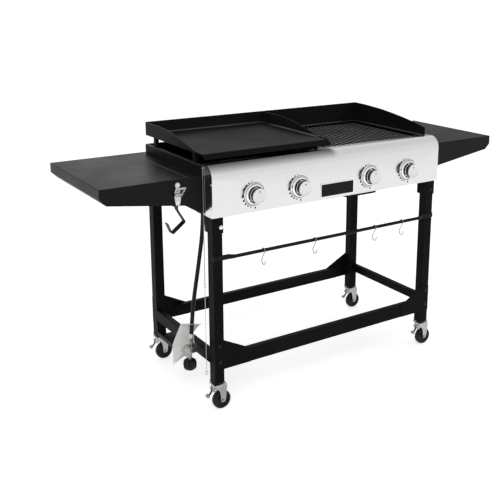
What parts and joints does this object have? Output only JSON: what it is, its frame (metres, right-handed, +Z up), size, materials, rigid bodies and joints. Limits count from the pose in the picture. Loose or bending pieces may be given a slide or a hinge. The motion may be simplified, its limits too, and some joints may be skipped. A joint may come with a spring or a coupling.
{
  "type": "outdoor gas griddle station",
  "caption": "Freestanding outdoor gas griddle and grill station with a flat griddle, a barred grate under a windscreen, side shelves, knobs, tool hooks and a legged frame on casters",
  "frame": {"origin": "on the floor at the middle of the footprint", "axes": "+X runs along the control panel toward the grate side, the panel faces -Y, +Z is up"},
  "size_m": [1.68, 0.55, 0.93],
  "materials": {
    "black_coat": "satin black powder coat on steel sheet and tube",
    "stainless": "stainless sheet brushed from end to end",
    "griddle_steel": "dark seasoned steel plate",
    "enamel": "matte black enamelled bars",
    "inner_steel": "dull grey coated steel inside the firebox",
    "burner_steel": "plain stainless tube",
    "ceramic_pin": "white glazed sleeve with a steel pin",
    "bright_steel": "zinc plated steel, bright",
    "valve_alloy": "cast alloy, plain",
    "chrome_trim": "polished chrome",
    "knob_chrome": "chrome plated grip with a bright crowned face",
    "black_plastic": "black moulded plastic",
    "wheel_rubber": "hard black rubber tyre",
    "hose_rubber": "smooth black gas hose",
    "regulator_zinc": "bare cast zinc",
    "tag_paper": "blank white paper",
    "dark_bolt": "blackened steel"
  },
  "bodies": {
    "station": {"firebox_pan": "inner_steel", "firebox_sides": "black_coat", "centre_rail": "black_coat", "control_panel": "stainless", "gas_manifold": "bright_steel", "valve_bodies": "valve_alloy", "burners": "burner_steel", "igniter_electrodes": "ceramic_pin", "flame_tamers": "inner_steel", "windscreen": "black_coat", "shelf_left": "black_coat", "shelf_right": "black_coat", "bottle_opener": "bright_steel", "tank_hook": "black_coat", "tank_rest": "black_coat", "leg_brackets": "black_coat", "leg_frame_left": "black_coat", "leg_frame_right": "black_coat", "leg_caps": "black_plastic", "front_beam": "black_coat", "rear_beam": "black_coat", "hook_rod": "black_coat", "knob_bezels": "chrome_trim", "gas_hose": "hose_rubber", "regulator": "regulator_zinc", "hose_tag": "tag_paper", "fasteners": "dark_bolt"},
    "griddle": {"griddle": "griddle_steel"},
    "grate_left": {"grate_left": "enamel"},
    "grate_right": {"grate_right": "enamel"},
    "grease_tray": {"grease_tray": "black_coat"},
    "s_hook_1": {"s_hook_1": "bright_steel"},
    "s_hook_2": {"s_hook_2": "bright_steel"},
    "s_hook_3": {"s_hook_3": "bright_steel"},
    "s_hook_4": {"s_hook_4": "bright_steel"},
    "caster_fork_front_left": {"caster_fork_front_left": "bright_steel"},
    "caster_wheel_front_left": {"caster_wheel_front_left": "wheel_rubber"},
    "brake_pedal_front_left": {"brake_pedal_front_left": "bright_steel"},
    "caster_fork_front_right": {"caster_fork_front_right": "bright_steel"},
    "caster_wheel_front_right": {"caster_wheel_front_right": "wheel_rubber"},
    "brake_pedal_front_right": {"brake_pedal_front_right": "bright_steel"},
    "caster_fork_rear_left": {"caster_fork_rear_left": "bright_steel"},
    "caster_wheel_rear_left": {"caster_wheel_rear_left": "wheel_rubber"},
    "brake_pedal_rear_left": {"brake_pedal_rear_left": "bright_steel"},
    "caster_fork_rear_right": {"caster_fork_rear_right": "bright_steel"},
    "caster_wheel_rear_right": {"caster_wheel_rear_right": "wheel_rubber"},
    "brake_pedal_rear_right": {"brake_pedal_rear_right": "bright_steel"},
    "stem_collar_1": {"stem_collar_1": "bright_steel"},
    "knob_1": {"knob_1": "knob_chrome"},
    "stem_collar_2": {"stem_collar_2": "bright_steel"},
    "knob_2": {"knob_2": "knob_chrome"},
    "stem_collar_3": {"stem_collar_3": "bright_steel"},
    "knob_3": {"knob_3": "knob_chrome"},
    "stem_collar_4": {"stem_collar_4": "bright_steel"},
    "knob_4": {"knob_4": "knob_chrome"},
    "match_chain_left": {"match_chain_left": "bright_steel"},
    "match_rod_left": {"match_rod_left": "bright_steel"},
    "match_chain_right": {"match_chain_right": "bright_steel"},
    "match_rod_right": {"match_rod_right": "bright_steel"},
    "hand_nut": {"hand_nut": "black_plastic"}
  },
  "joints": [
    {"name": "griddle_lift", "type": "slide", "parent": "station", "child": "griddle", "axis": [0, 0, 1], "range_m": [0, 0.1]},
    {"name": "grate_left_lift", "type": "slide", "parent": "station", "child": "grate_left", "axis": [0, 0, 1], "range_m": [0, 0.1]},
    {"name": "grate_right_lift", "type": "slide", "parent": "station", "child": "grate_right", "axis": [0, 0, 1], "range_m": [0, 0.1]},
    {"name": "tray_slide", "type": "slide", "parent": "station", "child": "grease_tray", "axis": [0, -1, 0], "range_m": [0, 0.2]},
    {"name": "s_hook_1_swing", "type": "hinge", "parent": "station", "child": "s_hook_1", "pos_m": [-0.298, -0.235, 0.548], "axis": [1, 0, 0], "range_deg": [-80, 80]},
    {"name": "s_hook_2_swing", "type": "hinge", "parent": "station", "child": "s_hook_2", "pos_m": [-0.085, -0.235, 0.548], "axis": [1, 0, 0], "range_deg": [-80, 80]},
    {"name": "s_hook_3_swing", "type": "hinge", "parent": "station", "child": "s_hook_3", "pos_m": [0.187, -0.235, 0.548], "axis": [1, 0, 0], "range_deg": [-80, 80]},
    {"name": "s_hook_4_swing", "type": "hinge", "parent": "station", "child": "s_hook_4", "pos_m": [0.319, -0.235, 0.548], "axis": [1, 0, 0], "range_deg": [-80, 80]},
    {"name": "swivel_front_left", "type": "hinge", "parent": "station", "child": "caster_fork_front_left", "pos_m": [-0.467, -0.207, 0.09], "axis": [0, 0, 1], "continuous": true},
    {"name": "roll_front_left", "type": "hinge", "parent": "caster_fork_front_left", "child": "caster_wheel_front_left", "pos_m": [-0.453, -0.207, 0.033], "axis": [0, 1, 0], "continuous": true},
    {"name": "brake_front_left", "type": "hinge", "parent": "caster_fork_front_left", "child": "brake_pedal_front_left", "pos_m": [-0.486, -0.207, 0.076], "axis": [0, -1, 0], "range_deg": [0, 40]},
    {"name": "swivel_front_right", "type": "hinge", "parent": "station", "child": "caster_fork_front_right", "pos_m": [0.467, -0.207, 0.09], "axis": [0, 0, 1], "continuous": true},
    {"name": "roll_front_right", "type": "hinge", "parent": "caster_fork_front_right", "child": "caster_wheel_front_right", "pos_m": [0.481, -0.207, 0.033], "axis": [0, 1, 0], "continuous": true},
    {"name": "brake_front_right", "type": "hinge", "parent": "caster_fork_front_right", "child": "brake_pedal_front_right", "pos_m": [0.448, -0.207, 0.076], "axis": [0, -1, 0], "range_deg": [0, 40]},
    {"name": "swivel_rear_left", "type": "hinge", "parent": "station", "child": "caster_fork_rear_left", "pos_m": [-0.467, 0.25, 0.09], "axis": [0, 0, 1], "continuous": true},
    {"name": "roll_rear_left", "type": "hinge", "parent": "caster_fork_rear_left", "child": "caster_wheel_rear_left", "pos_m": [-0.453, 0.25, 0.033], "axis": [0, 1, 0], "continuous": true},
    {"name": "brake_rear_left", "type": "hinge", "parent": "caster_fork_rear_left", "child": "brake_pedal_rear_left", "pos_m": [-0.486, 0.25, 0.076], "axis": [0, -1, 0], "range_deg": [0, 40]},
    {"name": "swivel_rear_right", "type": "hinge", "parent": "station", "child": "caster_fork_rear_right", "pos_m": [0.467, 0.25, 0.09], "axis": [0, 0, 1], "continuous": true},
    {"name": "roll_rear_right", "type": "hinge", "parent": "caster_fork_rear_right", "child": "caster_wheel_rear_right", "pos_m": [0.481, 0.25, 0.033], "axis": [0, 1, 0], "continuous": true},
    {"name": "brake_rear_right", "type": "hinge", "parent": "caster_fork_rear_right", "child": "brake_pedal_rear_right", "pos_m": [0.448, 0.25, 0.076], "axis": [0, -1, 0], "range_deg": [0, 40]},
    {"name": "push_1", "type": "slide", "parent": "station", "child": "stem_collar_1", "axis": [0, 1, 0], "range_m": [0, 0.003], "stiffness_N_per_m": 800, "springref_m": -0.004},
    {"name": "turn_1", "type": "hinge", "parent": "stem_collar_1", "child": "knob_1", "pos_m": [-0.335, -0.25, 0.749], "axis": [0, -1, 0], "range_deg": [0, 180]},
    {"name": "push_2", "type": "slide", "parent": "station", "child": "stem_collar_2", "axis": [0, 1, 0], "range_m": [0, 0.003], "stiffness_N_per_m": 800, "springref_m": -0.004},
    {"name": "turn_2", "type": "hinge", "parent": "stem_collar_2", "child": "knob_2", "pos_m": [-0.153, -0.25, 0.749], "axis": [0, -1, 0], "range_deg": [0, 180]},
    {"name": "push_3", "type": "slide", "parent": "station", "child": "stem_collar_3", "axis": [0, 1, 0], "range_m": [0, 0.003], "stiffness_N_per_m": 800, "springref_m": -0.004},
    {"name": "turn_3", "type": "hinge", "parent": "stem_collar_3", "child": "knob_3", "pos_m": [0.153, -0.25, 0.749], "axis": [0, -1, 0], "range_deg": [0, 180]},
    {"name": "push_4", "type": "slide", "parent": "station", "child": "stem_collar_4", "axis": [0, 1, 0], "range_m": [0, 0.003], "stiffness_N_per_m": 800, "springref_m": -0.004},
    {"name": "turn_4", "type": "hinge", "parent": "stem_collar_4", "child": "knob_4", "pos_m": [0.335, -0.25, 0.749], "axis": [0, -1, 0], "range_deg": [0, 180]},
    {"name": "chain_swing_left", "type": "hinge", "parent": "station", "child": "match_chain_left", "pos_m": [-0.494, -0.182, 0.845], "axis": [1, 0, 0], "range_deg": [-60, 0]},
    {"name": "rod_swing_left", "type": "hinge", "parent": "match_chain_left", "child": "match_rod_left", "pos_m": [-0.494, -0.182, 0.4386], "axis": [1, 0, 0], "range_deg": [-60, 5]},
    {"name": "chain_swing_right", "type": "hinge", "parent": "station", "child": "match_chain_right", "pos_m": [0.494, -0.182, 0.845], "axis": [1, 0, 0], "range_deg": [-60, 0]},
    {"name": "rod_swing_right", "type": "hinge", "parent": "match_chain_right", "child": "match_rod_right", "pos_m": [0.494, -0.182, 0.4386], "axis": [1, 0, 0], "range_deg": [-60, 60]},
    {"name": "nut_turn", "type": "hinge", "parent": "station", "child": "hand_nut", "pos_m": [-0.52388, -0.117, 0.14431], "axis": [0.0748, 0, 0.9972], "continuous": true}
  ]
}
